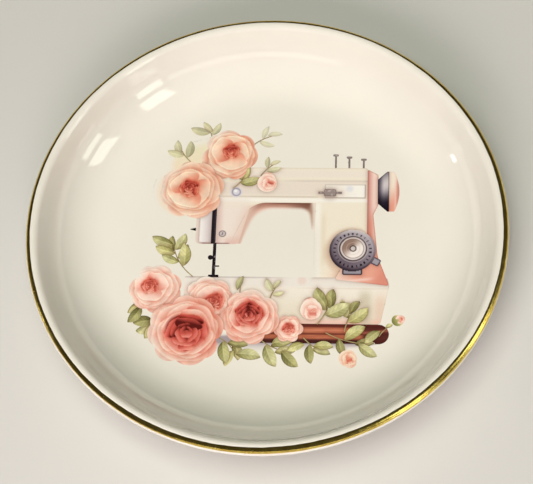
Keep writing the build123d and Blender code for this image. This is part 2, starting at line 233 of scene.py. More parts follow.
def ramp(tree, source, stops):
    """A colour ramp on a source, from (place, colour) stops."""
    node = tree.nodes.new("ShaderNodeValToRGB")
    elements = node.color_ramp.elements
    while len(elements) < len(stops):
        elements.new(0.5)
    for element, (place, colour) in zip(elements, stops):
        element.position = place
        element.color = (*colour, 1)
    tree.links.new(source, node.inputs["Fac"])
    return node.outputs["Color"]


def bump(tree, shader, source, distance, strength=1.0):
    """A bump on the shader from a height source."""
    node = tree.nodes.new("ShaderNodeBump")
    node.inputs["Distance"].default_value = distance
    node.inputs["Strength"].default_value = strength
    tree.links.new(source, node.inputs["Height"])
    tree.links.new(node.outputs["Normal"], shader.inputs["Normal"])


def mapped(tree, source, low, high):
    """A source from 0 to 1, moved to the range low to high."""
    node = tree.nodes.new("ShaderNodeMapRange")
    node.inputs["To Min"].default_value = low
    node.inputs["To Max"].default_value = high
    tree.links.new(source, node.inputs["Value"])
    return node.outputs["Result"]


def make_glassy(tree, shader, scale, low, high):
    """Give a shader a glassy, slightly uneven surface, and a roughness that wanders between two values."""
    tree.links.new(mapped(tree, noise(tree, scale, 2), low, high), shader.inputs["Roughness"])
    shader.inputs["Coat Weight"].default_value = 0.6
    shader.inputs["Coat Roughness"].default_value = 0.03
    bump(tree, shader, noise(tree, 170, 2), 0.000015)


def glaze_material():
    """Clear high gloss glaze on warm white porcelain, slightly uneven in tone and surface."""
    material, shader, tree = new_material("glaze")
    shades = ramp(tree, noise(tree, 60, 3), [(0.3, GLAZE_TONE * 0.985), (0.7, GLAZE_TONE * 1.015)])
    tree.links.new(shades, shader.inputs["Base Color"])
    make_glassy(tree, shader, 90, 0.04, 0.08)
    return material


def bisque_material():
    """Bare fired porcelain: matt, fine grained, a little grey where it stands."""
    material, shader, tree = new_material("bisque")
    shades = ramp(tree, noise(tree, 900, 4, 0.7), [(0.30, (0.62, 0.57, 0.49)), (0.62, (0.74, 0.70, 0.62))])
    tree.links.new(shades, shader.inputs["Base Color"])
    shader.inputs["Roughness"].default_value = 0.85
    bump(tree, shader, noise(tree, 3500, 3), 0.00004)
    return material


def gilt_material():
    """Fired gold: bright, with fine brush streaks and small dull patches."""
    material, shader, tree = new_material("gilt")
    shades = ramp(tree, noise(tree, 500, 3), [(0.30, (0.74, 0.50, 0.10)), (0.70, (0.96, 0.74, 0.22))])
    tree.links.new(shades, shader.inputs["Base Color"])
    tree.links.new(mapped(tree, noise(tree, 800, 3), 0.10, 0.34), shader.inputs["Roughness"])
    shader.inputs["Metallic"].default_value = 1.0
    bump(tree, shader, noise(tree, 2200, 2), 0.00001)
    return material


def ink_material(slot):
    """Fired ink: the painted colour with a fine grain, as glossy as the glaze it is fired into."""
    material, shader, tree = new_material(slot)
    paint = tree.nodes.new("ShaderNodeAttribute")
    paint.attribute_name = "ink"
    grain = tree.nodes.new("ShaderNodeMix")
    grain.data_type = "RGBA"
    grain.blend_type = "MULTIPLY"
    grain.inputs["Factor"].default_value = 1.0
    tree.links.new(paint.outputs["Color"], grain.inputs["A"])
    speckle = ramp(tree, noise(tree, 4200, 2), [(0.3, (0.97, 0.97, 0.97)), (0.7, (1.03, 1.03, 1.03))])
    tree.links.new(speckle, grain.inputs["B"])
    tree.links.new(grain.outputs["Result"], shader.inputs["Base Color"])
    make_glassy(tree, shader, 300, 0.05, 0.10)
    return material


# ---------------------------------------------------------------- the turned dish

def arc(centre, radius, start, end, steps):
    """Points on an arc from one angle in degrees to another."""
    turn = np.radians(np.linspace(start, end, steps + 1))
    return np.column_stack([centre[0] + radius * np.cos(turn), centre[1] + radius * np.sin(turn)])


def run(start, end, steps):
    """Points on a straight run, its two ends included."""
    return np.linspace(start, end, steps + 1)


def bend_radius():
    """The radius of the bend between the well and the wall, on the inside."""
    lip_inside = (
        LIP_CENTRE[0] - LIP_RADIUS * math.sin(WALL_SLOPE),
        LIP_CENTRE[1] + LIP_RADIUS * math.cos(WALL_SLOPE),
    )
    corner = lip_inside[0] - (lip_inside[1] - WELL_TOP) / math.tan(WALL_SLOPE)
    return (corner - WELL_RADIUS) / math.tan(WALL_SLOPE / 2)


def dish_line(depth):
    """The section from the well's middle over the lip to the foot's outside, at a depth below the glaze."""
    slope = math.degrees(WALL_SLOPE)
    bend = bend_radius()
    bend_centre = (WELL_RADIUS, WELL_TOP + bend)
    root_centre = (FOOT_OUTER_RADIUS + FOOT_ROOT_FILLET, BASE_UNDERSIDE - FOOT_ROOT_FILLET)
    inner_bend = arc(bend_centre, bend + depth, -90, slope - 90, 24)
    lip = arc(LIP_CENTRE, LIP_RADIUS - depth, slope + 90, slope - 90, 40)
    outer_bend = arc(bend_centre, bend + THICKNESS - depth, slope - 90, -90, 24)
    root = arc(root_centre, FOOT_ROOT_FILLET + depth, 90, 180, 8)
    return joined([
        run((0, WELL_TOP - depth), (WELL_RADIUS, WELL_TOP - depth), 12),
        inner_bend,
        run(inner_bend[-1], lip[0], 6),
        lip,
        run(lip[-1], outer_bend[0], 6),
        outer_bend,
        root,
    ])


def recess_line(depth):
    """The section from the middle of the underside to the foot's inside, at a depth below the glaze."""
    root_centre = (FOOT_INNER_RADIUS - FOOT_ROOT_FILLET, BASE_UNDERSIDE - FOOT_ROOT_FILLET)
    root = arc(root_centre, FOOT_ROOT_FILLET + depth, 90, 0, 8)
    return joined([run((0, BASE_UNDERSIDE + depth), root[0], 12), root])


def joined(stretches):
    """Stretches of a line end to end, without doubled points."""
    points = np.concatenate(stretches)
    apart = np.hypot(*np.diff(points, axis=0).T) > 1e-6
    return points[np.concatenate([[True], apart])]


def foot_line():
    """The bare foot, from the glaze's edge outside, round the rest face, to its edge inside."""
    outer, inner, fillet = FOOT_OUTER_RADIUS, FOOT_INNER_RADIUS, FOOT_EDGE_FILLET
    return joined([
        run((outer - GLAZE, GLAZE_EDGE), (outer, GLAZE_EDGE), 1),
        arc((outer - fillet, fillet), fillet, 0, -90, 8),
        arc((inner + fillet, fillet), fillet, -90, -180, 8),
        run((inner, GLAZE_EDGE), (inner + GLAZE, GLAZE_EDGE), 1),
    ])


def bead(radius, side):
    """The rounded end of a coat of glaze on the foot: side is 1 outside and -1 inside."""
    middle = (radius - side * GLAZE / 2, GLAZE_EDGE + GLAZE / 2)
    turn = (0, -180) if side > 0 else (-180, 0)
    return arc(middle, GLAZE / 2, *turn, 6)


def turned(name, rows, material, nodes):
    """A mesh of revolution. rows holds, for each angle, the section's points as radius and height. A section
    that starts and ends on the axis closes there, and any other closes on itself."""
    rows = np.asarray(rows)
    steps, count = rows.shape[:2]
    turn = np.linspace(0, 2 * math.pi, steps, endpoint=False)[:, None]
    radius, height = rows[..., 0], rows[..., 1]
    points = np.stack([radius * np.cos(turn), radius * np.sin(turn), height], axis=-1)
    index = np.arange(steps * count).reshape(steps, count)
    beside = np.roll(index, -1, axis=0)
    poles = radius.max(axis=0) < 1e-9
    if poles.any():
        quads = [index[:, :-1], beside[:, :-1], beside[:, 1:], index[:, 1:]]
    else:
        quads = [index, beside, np.roll(beside, -1, axis=1), np.roll(index, -1, axis=1)]
    faces = np.stack(quads, axis=-1).reshape(-1, 4)
    for column in np.flatnonzero(poles):
        faces[np.isin(faces, index[:, column])] = index[0, column]
    used, corners = np.unique(faces, return_inverse=True)
    faces = [list(dict.fromkeys(face)) for face in corners.reshape(-1, 4).tolist()]
    piece = add_mesh(name, points.reshape(-1, 3)[used], faces)
    finish_piece(piece, material, nodes)


def add_mesh(name, points, faces):
    """A mesh object from points in millimetres, smooth except at sharp edges."""
    mesh = bpy.data.meshes.new(name)
    mesh.from_pydata(points * MM, [], faces)
    mesh.shade_smooth()
    mesh.set_sharp_from_angle(angle=SHARP_ANGLE)
    return add_object(name, mesh)


def finish_piece(piece, material, nodes):
    """Give a piece its material and its body, and hide the CAD nodes that it stands for."""
    piece.data.materials.append(material)
    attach(piece, "root")
    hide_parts(*nodes)


def drift(turn, amounts):
    """A smooth wander round the dish, from (cycles, size, phase) terms."""
    return sum(size * np.sin(cycles * turn + phase) for cycles, size, phase in amounts)


def warped(turn, radius, height):
    """Points at each angle of the dish, with the slight warp that firing leaves above the well."""
    rise = np.clip((height - WELL_TOP) / (HEIGHT - WELL_TOP), 0, 1) ** 2
    radius = radius + rise * drift(turn, [(2, 0.07, 0.6), (3, 0.03, 2.0)])
    height = height + rise * drift(turn, [(2, 0.05, 1.9), (3, 0.03, 0.4), (5, 0.012, 1.0)])
    return np.stack([radius, height], axis=-1)


def out_of_round(line):
    """A section repeated round the dish and warped."""
    turn = np.linspace(0, 2 * math.pi, TURN_STEPS, endpoint=False)[:, None]
    return warped(turn, line[:, 0], line[:, 1])


def add_dish():
    """The porcelain body, its two coats of glaze and the gilt line."""
    glaze = glaze_material()
    body = joined([dish_line(GLAZE), foot_line(), recess_line(GLAZE)[::-1]])
    turned("porcelain_body", out_of_round(body), bisque_material(), ["dish_body"])
    coat = joined([dish_line(0), bead(FOOT_OUTER_RADIUS, 1), dish_line(GLAZE)[::-1]])
    turned("glaze", out_of_round(coat), glaze, ["glaze_coat"])
    recess = joined([recess_line(GLAZE), bead(FOOT_INNER_RADIUS, -1), recess_line(0)[::-1]])
    turned("glaze_underside", out_of_round(recess), glaze, ["underside_glaze"])
    add_gilt()


def add_gilt():
    """The gilt line: a brushed band on the lip's shoulder that wanders and varies in width."""
    turn = np.linspace(0, 2 * math.pi, GILT_STEPS, endpoint=False)
    wide = 0.5 + 0.5 * np.cos(turn + 0.5)
    ragged = drift(turn, [(37, 0.5, 0.3), (61, 0.4, 1.7), (97, 0.3, 2.9), (151, 0.25, 0.8)])
    low = GILT_LOW - GILT_LOW_SPREAD * wide + drift(turn, [(5, 1.5, 1.1), (11, 1.0, 2.2)]) + ragged
    high = GILT_HIGH + GILT_HIGH_SPREAD * wide + drift(turn, [(4, 1.6, 0.2), (9, 1.0, 1.4)]) - ragged[::-1]
    share = np.linspace(0, 1, GILT_ACROSS)
    swell = GILT_SWELL * (1 - (2 * share - 1) ** 6)
    across = np.concatenate([share, share[::-1]])
    lift = np.concatenate([swell, np.full(GILT_ACROSS, -GILT_SINK)])
    angle = np.radians(low[:, None] + (high - low)[:, None] * across)
    radius = LIP_CENTRE[0] + (LIP_RADIUS + lift) * np.cos(angle)
    height = LIP_CENTRE[1] + (LIP_RADIUS + lift) * np.sin(angle)
    rows = warped(turn[:, None], radius, height)[:, ::-1]
    turned("gilt_line", rows, gilt_material(), ["gilt_rim_line"])


# ---------------------------------------------------------------- tones and steps

def tone(red, green, blue):
    """A colour as it looks on screen, from 0 to 255."""
    return np.array([red, green, blue]) / 255


WHITE = tone(234, 227, 210)


def between(start, end, share):
    """A colour for each point, between two colours."""
    return start + (end - start) * np.reshape(share, (-1, 1))


def smooth(value, low, high):
    """0 below low, 1 above high, and a smooth step between."""
    share = np.clip((value - low) / (high - low), 0, 1)
    return share * share * (3 - 2 * share)


def fall(value, low, high):
    """1 below low, 0 above high, and a smooth step between."""
    return 1 - smooth(value, low, high)


def hump(value, middle, width):
    """1 at the middle, fading out to both sides."""
    return np.exp(-((value - middle) / width) ** 2)


# ---------------------------------------------------------------- the films of ink

def span(node):
    """A CAD node's lowest and highest corner in millimetres."""
    return [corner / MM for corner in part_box(node)]


def film_faces(node):
    """The flat top of each patch of a print node: its points in millimetres and its triangles."""
    mesh = frame["nodes"][node].data
    points = np.array([vertex.co for vertex in mesh.vertices]) / MM
    mesh.calc_loop_triangles()
    triangles = np.array([triangle.vertices for triangle in mesh.loop_triangles])
    on_top = points[:, 2] > points[:, 2].max() - 1e-3
    triangles = triangles[on_top[triangles].all(axis=1)]
    label = np.arange(len(points))
    while True:
        lowest = label[triangles].min(axis=1)
        before = label.copy()
        np.minimum.at(label, triangles, lowest[:, None])
        if (label == before).all():
            break
    first = label[triangles[:, 0]]
    return [(points[:, :2], triangles[first == patch]) for patch in np.unique(first)]


def outlines(points, triangles):
    """The closed loops round a set of triangles, each divided finely."""
    edges = [edge for a, b, c in triangles.tolist() for edge in ((a, b), (b, c), (c, a))]
    one_way = set(edges)
    following = {start: end for start, end in edges if (end, start) not in one_way}
    loops = []
    while following:
        start = next(iter(following))
        corners = [start]
        while following[corners[-1]] != start:
            corners.append(following[corners[-1]])
        for corner in corners:
            del following[corner]
        loops.append(divided(points[corners]))
    return loops


def divided(corners):
    """A closed loop with its long edges divided to the film's step."""
    stretches = []
    for start, end in zip(corners, np.roll(corners, -1, axis=0)):
        count = max(1, round(math.dist(start, end) / FILM_STEP))
        stretches.append(np.linspace(start, end, count, endpoint=False))
    return np.concatenate(stretches)


def inside(points, loops):
    """Which points are inside a set of loops, by counting crossings."""
    hits = np.zeros(len(points), int)
    for loop in loops:
        for (x0, y0), (x1, y1) in zip(loop, np.roll(loop, -1, axis=0)):
            spans = (points[:, 1] < y0) != (points[:, 1] < y1)
            if spans.any():
                crossing = x0 + (points[:, 1] - y0) * (x1 - x0) / (y1 - y0 + 1e-12)
                hits += spans & (points[:, 0] < crossing)
    return hits % 2 == 1


def lattice(loops):
    """Points of an even triangular lattice inside the loops."""
    corners = np.concatenate(loops)
    low, high = corners.min(axis=0), corners.max(axis=0)
    row_step = FILM_STEP * math.sqrt(0.75)
    rows = []
    for i, y in enumerate(np.arange(math.floor(low[1] / row_step), math.ceil(high[1] / row_step)) * row_step):
        crossings = []
        for loop in loops:
            ends = np.roll(loop, -1, axis=0)
            spans = (loop[:, 1] < y) != (ends[:, 1] < y)
            a, b = loop[spans], ends[spans]
            crossings.append(a[:, 0] + (y - a[:, 1]) * (b[:, 0] - a[:, 0]) / (b[:, 1] - a[:, 1]))
        crossings = np.sort(np.concatenate(crossings))
        x = np.arange(low[0] + (i % 2) * FILM_STEP / 2, high[0], FILM_STEP)
        x = x[np.searchsorted(crossings, x) % 2 == 1]
        rows.append(np.column_stack([x, np.full(len(x), y)]))
    return np.concatenate(rows)


def search_tree(points):
    """Points of the picture, sorted so that the nearest is found quickly."""
    tree = KDTree(len(points))
    for i, (x, y) in enumerate(points.tolist()):
        tree.insert((x, y, 0), i)
    tree.balance()
    return tree


def nearest(points, targets):
    """The distance from each point to the nearest target, and which target that is."""
    if not len(targets):
        return np.full(len(points), FAR_AWAY), np.zeros(len(points), int)
    tree = search_tree(targets)
    found = [tree.find((x, y, 0)) for x, y in points.tolist()]
    return np.array([hit[2] for hit in found]), np.array([hit[1] for hit in found])


def filled(loops, extra):
    """Triangles over the loops' points followed by the extra points, inside the loops."""
    points = np.concatenate([*loops, extra]) if len(extra) else np.concatenate(loops)
    edges = []
    start = 0
    for loop in loops:
        ring = range(start, start + len(loop))
        edges += list(zip(ring, [*ring[1:], start]))
        start += len(loop)
    result = delaunay_2d_cdt([Vector(point) for point in points.tolist()], edges, [], 0, 1e-7, True)
    origin = [ids[0] if ids else -1 for ids in result[3]]
    triangles = np.array([[origin[corner] for corner in face] for face in result[2]])
    triangles = triangles[(triangles >= 0).all(axis=1)]
    only_rim = (triangles < start).all(axis=1)
    kept = np.ones(len(triangles), bool)
    kept[only_rim] = inside(points[triangles[only_rim]].mean(axis=1), loops)
    return triangles[kept], start


class Film:
    """One patch of ink: its points in the picture, its triangles, and the colour laid at each point."""

    def __init__(self, points, triangles):
        self.loops = outlines(points, triangles)
        self.rim = np.concatenate(self.loops)
        inner = lattice(self.loops)
        if len(inner):
            inner = inner[nearest(inner, self.rim)[0] > 0.45 * FILM_STEP]
        self.top, self.rim_count = filled(self.loops, inner)
        self.bottom, _ = filled(self.loops, inner[:0])
        self.points = np.concatenate([self.rim, inner])
        self.x, self.y = self.points.T
        self.colour = np.tile(WHITE, (len(self.points), 1))

    def measure_edges(self, fronted, shadowed):
        """Find how far each point is from the film's own outline, and from the films that shadow it."""
        self.edge = nearest(self.points, self.rim[~fronted])[0]
        self.under = nearest(self.points, self.rim[shadowed])[0]

    def lay(self, colour, cover=1.0):
        """Lay a colour over what is there."""
        cover = np.clip(np.broadcast_to(cover, len(self.points)), 0, 1)[:, None]
        self.colour = self.colour + (colour - self.colour) * cover

    def ink(self, red, green, blue, cover=1.0):
        """Lay an ink over what is there, given as it looks on screen, from 0 to 255."""
        self.lay(tone(red, green, blue), cover)

    def blend(self, start, end, share, cover=1.0):
        """Lay the inks between two, given as in ink."""
        self.lay(between(tone(*start), tone(*end), share), cover)

    def shade(self, amount, tint=(0.45, 0.28, 0.26)):
        """Darken what is there towards a tint of itself."""
        amount = np.clip(np.broadcast_to(amount, len(self.points)), 0, 1)[:, None]
        self.colour = self.colour * (1 - amount * (1 - np.array(tint)))

    def mottle(self, amount, size, seed):
        """Vary what is there with smooth noise of a size."""
        self.colour = self.colour * (1 + amount * cloud(self.x, self.y, size, seed))[:, None]

    def band(self, value, low, high, soft):
        """1 where a value is between two limits, and fading out over a soft border."""
        return smooth(value, low - soft, low + soft) * fall(value, high - soft, high + soft)

    def box(self, low, high, soft=0.08):
        """1 inside a rectangle."""
        return self.band(self.x, low[0], high[0], soft) * self.band(self.y, low[1], high[1], soft)

    def ring(self, centre, radius, width, soft=0.08):
        """1 on a ring of a radius and a width."""
        return self.band(self.away(centre), radius - width / 2, radius + width / 2, soft)

    def disc(self, centre, radius, soft=0.08):
        """1 inside a circle."""
        return fall(self.away(centre), radius - soft, radius + soft)

    def about(self, centre, scale=1):
        """How far across and how far up each point is from a centre, in shares of a scale."""
        return (self.x - centre[0]) / scale, (self.y - centre[1]) / scale

    def away(self, centre):
        """Each point's distance from a centre."""
        return np.hypot(*self.about(centre))

    def turn(self, centre):
        """Each point's direction from a centre, in radians."""
        across, up = self.about(centre)
        return np.arctan2(up, across)

    def within(self, node):
        """How far across and how far up a CAD node's box each point is, from 0 to 1."""
        low, high = span(node)
        return (self.x - low[0]) / (high[0] - low[0]), (self.y - low[1]) / (high[1] - low[1])

    def from_line(self, corners):
        """The distance to a line through some corners."""
        spans = []
        for start, end in zip(np.array(corners[:-1], float), np.array(corners[1:], float)):
            along = end - start
            share = np.clip(((self.points - start) @ along) / (along @ along), 0, 1)
            spans.append(np.hypot(*(self.points - start - share[:, None] * along).T))
        return np.min(spans, axis=0)


# ---------------------------------------------------------------- painting

def hashed(a, b, seed):
    """A fixed number from -1 to 1 for each pair of whole numbers."""
    wild = np.sin(a * 127.1 + b * 311.7 + seed * 74.7) * 43758.5453
    return 2 * (wild - np.floor(wild)) - 1


def cloud(x, y, size, seed, octaves=2):
    """Smooth noise from about -1 to 1, with features of a size."""
    total = 0
    for octave in range(octaves):
        u, v = x / size * 2 ** octave, y / size * 2 ** octave
        i, j = np.floor(u), np.floor(v)
        s, t = smooth(u - i, 0, 1), smooth(v - j, 0, 1)
        low = hashed(i, j, seed) * (1 - s) + hashed(i + 1, j, seed) * s
        high = hashed(i, j + 1, seed) * (1 - s) + hashed(i + 1, j + 1, seed) * s
        total = total + (low * (1 - t) + high * t) / 2 ** octave
    return total


# Roses: place, radius, petals and turn as in the CAD model, then the heart's offset and radius as shares of
# that radius, the direction towards which the rose fades out and how far it does, and its tones, from the
# outer petals' tips to the darkest of the heart.
DEEP = [tone(250, 226, 206), tone(241, 188, 167), tone(223, 132, 115), tone(196, 84, 71), tone(92, 26, 22)]
PEACH = [tone(247, 231, 204), tone(241, 204, 173), tone(228, 152, 123), tone(202, 94, 75), tone(146, 52, 42)]
PALE = [tone(250, 232, 213), tone(246, 208, 187), tone(234, 163, 142), tone(212, 110, 91), tone(172, 74, 60)]
ROSES = {
    "large": ((-16.6, -19.2), 8.0, 8, 10, (0.02, -0.06, 0.62), (200, 0.5), DEEP),
    "middle": ((-3.4, -16.0), 6.3, 7, 30, (-0.02, 0.10, 0.52), (70, 0.8), DEEP),
    "small": ((4.8, -18.6), 3.1, 6, 0, (0.0, 0.05, 0.46), (0, 0.0), PALE),
    "left": ((-23.4, -9.8), 5.6, 7, 20, (-0.22, 0.12, 0.36), (120, 0.8), PALE),
    "rear": ((-12.2, -12.0), 5.2, 7, 45, (0.26, -0.10, 0.44), (110, 0.8), PALE),
    "upper_front": ((-16.9, 13.6), 7.0, 8, 15, (-0.08, 0.06, 0.33), (170, 0.75), PEACH),
    "upper_rear": ((-9.2, 22.2), 6.2, 7, 40, (0.06, 0.14, 0.32), (130, 0.85), PEACH),
}
ROSE_SHADOW = (0.90, 0.66, 0.60)

# The rings of a rose's petals, from the outside in: the number of petals, or 0 for the rose's own number; how
# far out, how long and how wide each petal is; how deep its tone is and how much deeper it gets towards its
# root, as shares of the run of tones; and how strong its shadow and its rim are. The outer rings are measured
# in shares of the rose's radius, and the heart's rings in shares of the heart's.
OUTER_RINGS = [
    (0, 0.60, 0.43, 0.46, 0.00, 0.34, 0.25, 0.25),
    (5, 0.40, 0.48, 0.66, 0.02, 0.34, 0.40, 0.45),
    (4, 0.34, 0.42, 0.60, 0.06, 0.36, 0.46, 0.55),
    (4, 0.30, 0.34, 0.50, 0.14, 0.40, 0.50, 0.65),
]
HEART_RINGS = [
    (5, 0.56, 0.30, 0.62, 0.54, 0.46, 0.60, 0.42),
    (4, 0.38, 0.28, 0.52, 0.62, 0.40, 0.65, 0.38),
    (3, 0.22, 0.24, 0.38, 0.66, 0.36, 0.65, 0.34),
    (3, 0.08, 0.17, 0.22, 0.68, 0.32, 0.60, 0.32),
]

# How far petals stray from even spacing: the lobes of the outline as in the CAD model, in degrees, and the
# petals inside it at random, in radians
LOBE_STRAY = 7.0
LOBE_RHYTHM = 2.4
PETAL_STRAY = 0.4
HEART_STRAY = 0.3


def petal(film, along, across, size, tones, look, draw):
    """One petal: deep at its root, pale at its tip, with a bright rim and a soft shadow on what is below."""
    length, width = size
    level, deepening, shadow, brightness = look
    heading = np.arctan2(across / width, along / length)
    phases = draw.uniform(0, 2 * math.pi, 2)
    wave = 1 + 0.08 * np.sin(2 * heading + phases[0]) + 0.04 * np.sin(5 * heading + phases[1])
    reach = np.hypot(along / length, across / width) / wave
    outward = smooth(along / length, -0.5, 0.6)
    film.shade(shadow * outward * np.exp(-np.maximum(reach - 1, 0) / 0.26) * (reach > 1), ROSE_SHADOW)

    streaks = cloud(across / width, along / length * 0.3, 0.25, phases[0])
    share = smooth(along / length, -0.6, 0.9) + 0.06 * streaks
    place = np.clip((level + deepening * (1 - share)) * (len(tones) - 1), 0, len(tones) - 1)
    colour = np.stack([np.interp(place, range(len(tones)), [t[i] for t in tones]) for i in range(3)], axis=-1)
    covered = smooth(1 - reach, 0, 0.05)
    film.lay(colour, covered)
    rim = hump(1 - reach, 0.055, 0.05) * outward
    film.lay(np.minimum(colour * 1.08 + 0.05, 1), brightness * rim * covered)


def shifted(place, offset, amount):
    """A place moved by so much of an offset."""
    return place[0] + offset[0] * amount, place[1] + offset[1] * amount


def rotated(u, v, angle):
    """How far each point is along a direction, and how far across it."""
    return u * math.cos(angle) + v * math.sin(angle), -u * math.sin(angle) + v * math.cos(angle)


def petal_ring(film, place, radius, angles, ring, tones, draw):
    """One ring of petals round a place, laid in a shuffled order."""
    _, out, length, width, level, *look = ring
    u, v = film.about(place, radius)
    for i in draw.permutation(len(angles)):
        angle = angles[i]
        grow = 1 + 0.12 * draw.uniform(-1, 1)
        along, across = rotated(u, v, angle)
        depth = level * (1 + 0.3 * math.sin(angle)) + draw.uniform(-0.02, 0.02)
        petal(film, along - out, across, (length * grow, width * grow), tones, (depth, *look), draw)


def paint_rose(film, place, radius, petals, turn, heart, fade, tones):
    """A full rose, painted from its outer petals in to its cupped heart, that fades out on one side."""
    draw = np.random.default_rng(int(1000 + 10 * radius + petals))
    film.lay(between(tones[1], tones[0], film.away(place) / radius))
    for number, ring in enumerate(OUTER_RINGS):
        count = ring[0] or petals
        order = np.arange(count)
        angles = math.radians(turn) + (order + number / 2) * 2 * math.pi / count
        if number == 0:
            angles = angles + math.radians(LOBE_STRAY) * np.sin(LOBE_RHYTHM * order)
        else:
            angles = angles + draw.uniform(-PETAL_STRAY, PETAL_STRAY, count)
        centre = shifted(place, heart, radius * number / len(OUTER_RINGS))
        petal_ring(film, centre, radius, angles, ring, tones, draw)

    middle, reach = shifted(place, heart, radius), heart[2] * radius
    u, v = film.about(middle, reach)
    away = np.hypot(u, 1.15 * v) * (1 + 0.07 * np.sin(3 * np.arctan2(v, u) + turn))
    bowl = between(tones[3], tones[4], smooth(0.6 * v - 0.3 * u - away + 1.0, 0, 1))
    film.lay(bowl, 0.95 * fall(away, 0.78, 1))
    for number, ring in enumerate(HEART_RINGS):
        angles = turn + (np.arange(ring[0]) + number / 2) * 2 * math.pi / ring[0]
        angles = angles + draw.uniform(-HEART_STRAY, HEART_STRAY, ring[0])
        petal_ring(film, middle, reach, angles, ring, tones, draw)

    side = rotated(*film.about(place), math.radians(fade[0]))[0] / radius
    film.shade(0.25 * smooth(-side, -0.2, 1.0), ROSE_SHADOW)
    film.lay(WHITE, fade[1] * smooth(side, 0.25, 1.05) * fall(film.edge, 0, 0.3 * radius))
    film.mottle(0.03, 1.1, radius)


# A bud's petals, as in a rose's rings
BUD_RINGS = [
    (3, 0.34, 0.62, 0.80, 0.00, 0.26, 0.50, 0.50),
    (3, 0.20, 0.40, 0.52, 0.10, 0.40, 0.60, 0.50),
    (2, 0.08, 0.22, 0.28, 0.38, 0.40, 0.60, 0.30),
]


def paint_bud(film, place, radius, direction, heart, green, tones):
    """A round bud: broad petals folded round a deeper heart, and green sepals at its root if it has them."""
    draw = np.random.default_rng(int(100 * radius))
    turn = math.radians(direction)
    film.lay(tones[0])
    for number, ring in enumerate(BUD_RINGS):
        angles = turn + 0.7 * number + (np.arange(ring[0]) + 0.5) * 2 * math.pi / ring[0]
        centre = shifted(place, heart, radius * number / (len(BUD_RINGS) - 1))
        petal_ring(film, centre, radius, angles, ring, tones, draw)
    u, v = film.about(place, radius)
    film.shade(0.25 * smooth(np.hypot(u, v), 0.75, 1.1), ROSE_SHADOW)
    along, across = rotated(u, v, turn)
    sepal = 0.85 - 0.5 * np.abs(np.sin(across * 4.5))
    cover = green * smooth(sepal - (along + 0.45), 0, 0.12)
    film.blend((116, 116, 62), (196, 190, 120), smooth(along, -1, 0.4), cover)


# Buds: place, radius and direction as in the CAD model, the heart's offset as a share of the radius, how
# green the bud is from 0 to 1, and its tones.
BUDS = {
    "arm": ((-0.8, 15.4), 2.5, 80, (0.30, 0.0), 0.0, PALE),
    "bed": ((9.4, -14.2), 2.7, 100, (0.15, -0.40), 0.0, PALE),
    "low": ((17.2, -25.0), 2.2, -60, (0.2, -0.25), 0.0, PEACH),
    "right": ((27.4, -16.4), 1.5, 25, (0.5, 0.2), 1.0, PALE),
}

LEAF_TONES = [
    (tone(132, 128, 72), tone(209, 203, 146)),
    (tone(106, 102, 56), tone(190, 184, 124)),
    (tone(166, 158, 92), tone(220, 214, 154)),
    (tone(150, 146, 88), tone(215, 210, 158)),
]

# How many places along a leaf its width is taken at, and the least that half its width counts for
LEAF_STATIONS = 14
LEAF_LEAST_HALF = 0.08

# The sprays that are printed faintly, and how faint they are
FAINT = {"top": 0.45, "top_left": 0.4, "top_right": 0.6, "arm_tip": 0.45, "bed_front": 0.35, "bed_left": 0.2}


def leaf_measures(film, stems):
    """Where each point of a leaf is: along the leaf from its stem, from 0 to 1, and away from its midrib,
    as a share of the leaf's half width there and in millimetres."""
    centre = film.rim.mean(axis=0)
    offsets = film.rim - centre
    axis = np.linalg.eigh(offsets.T @ offsets)[1][:, 1]
    reach = offsets @ axis
    ends = centre + np.outer([reach.min(), reach.max()], axis)
    if nearest(ends, stems)[0].argmin() == 1:
        axis = -axis
        reach = -reach
    side = np.array([-axis[1], axis[0]])
    rim_across = offsets @ side
    stations = np.linspace(reach.min(), reach.max(), LEAF_STATIONS)
    middle, half = [], []
    for station in stations:
        near = np.abs(reach - station) < (stations[1] - stations[0]) * 1.2
        low, high = rim_across[near].min(), rim_across[near].max()
        middle.append((low + high) / 2)
        half.append(max((high - low) / 2, LEAF_LEAST_HALF))
    along = (film.points - centre) @ axis
    off = (film.points - centre) @ side - np.interp(along, stations, middle)
    return (along - stations[0]) / (stations[-1] - stations[0]), off / np.interp(along, stations, half), off


def paint_leaf(film, stems, number):
    """A leaf: two halves of different tone, a pale midrib, side veins and a darker edge."""
    share, out, off = leaf_measures(film, stems)
    dark, pale = LEAF_TONES[number % len(LEAF_TONES)]
    lit = 0.15 + 0.45 * smooth(out, -0.15, 0.15) + 0.4 * smooth(share, 0.1, 0.9)
    film.lay(between(dark, pale, lit + 0.12 * cloud(film.x, film.y, 1.6, number)))
    veins = np.cos(2 * math.pi * (share * 6 - 1.6 * np.abs(out)))
    film.lay(pale * 1.05, 0.16 * smooth(veins, 0.5, 1.0) * smooth(np.abs(out), 0.05, 0.3))
    film.shade(0.14 * smooth(-veins, 0.3, 1.0), (0.62, 0.58, 0.42))
    film.lay(pale * 1.08, 0.7 * hump(off, 0, 0.10) * fall(share, 0.7, 1.0))
    film.shade(0.50 * fall(film.edge, 0.0, 0.3) * smooth(-out, -0.2, 0.6), (0.52, 0.44, 0.32))
    film.shade(0.40 * fall(share, 0.0, 0.3), (0.58, 0.48, 0.34))
    film.shade(0.25 * smooth(share, 0.8, 1.0), (0.60, 0.50, 0.36))
    film.mottle(0.07, 0.9, number)


def paint_stem(film):
    """A stem: pale olive, darker along its edges."""
    film.ink(176, 162, 112)
    film.shade(0.30 * fall(film.edge, 0, 0.12), (0.6, 0.5, 0.4))


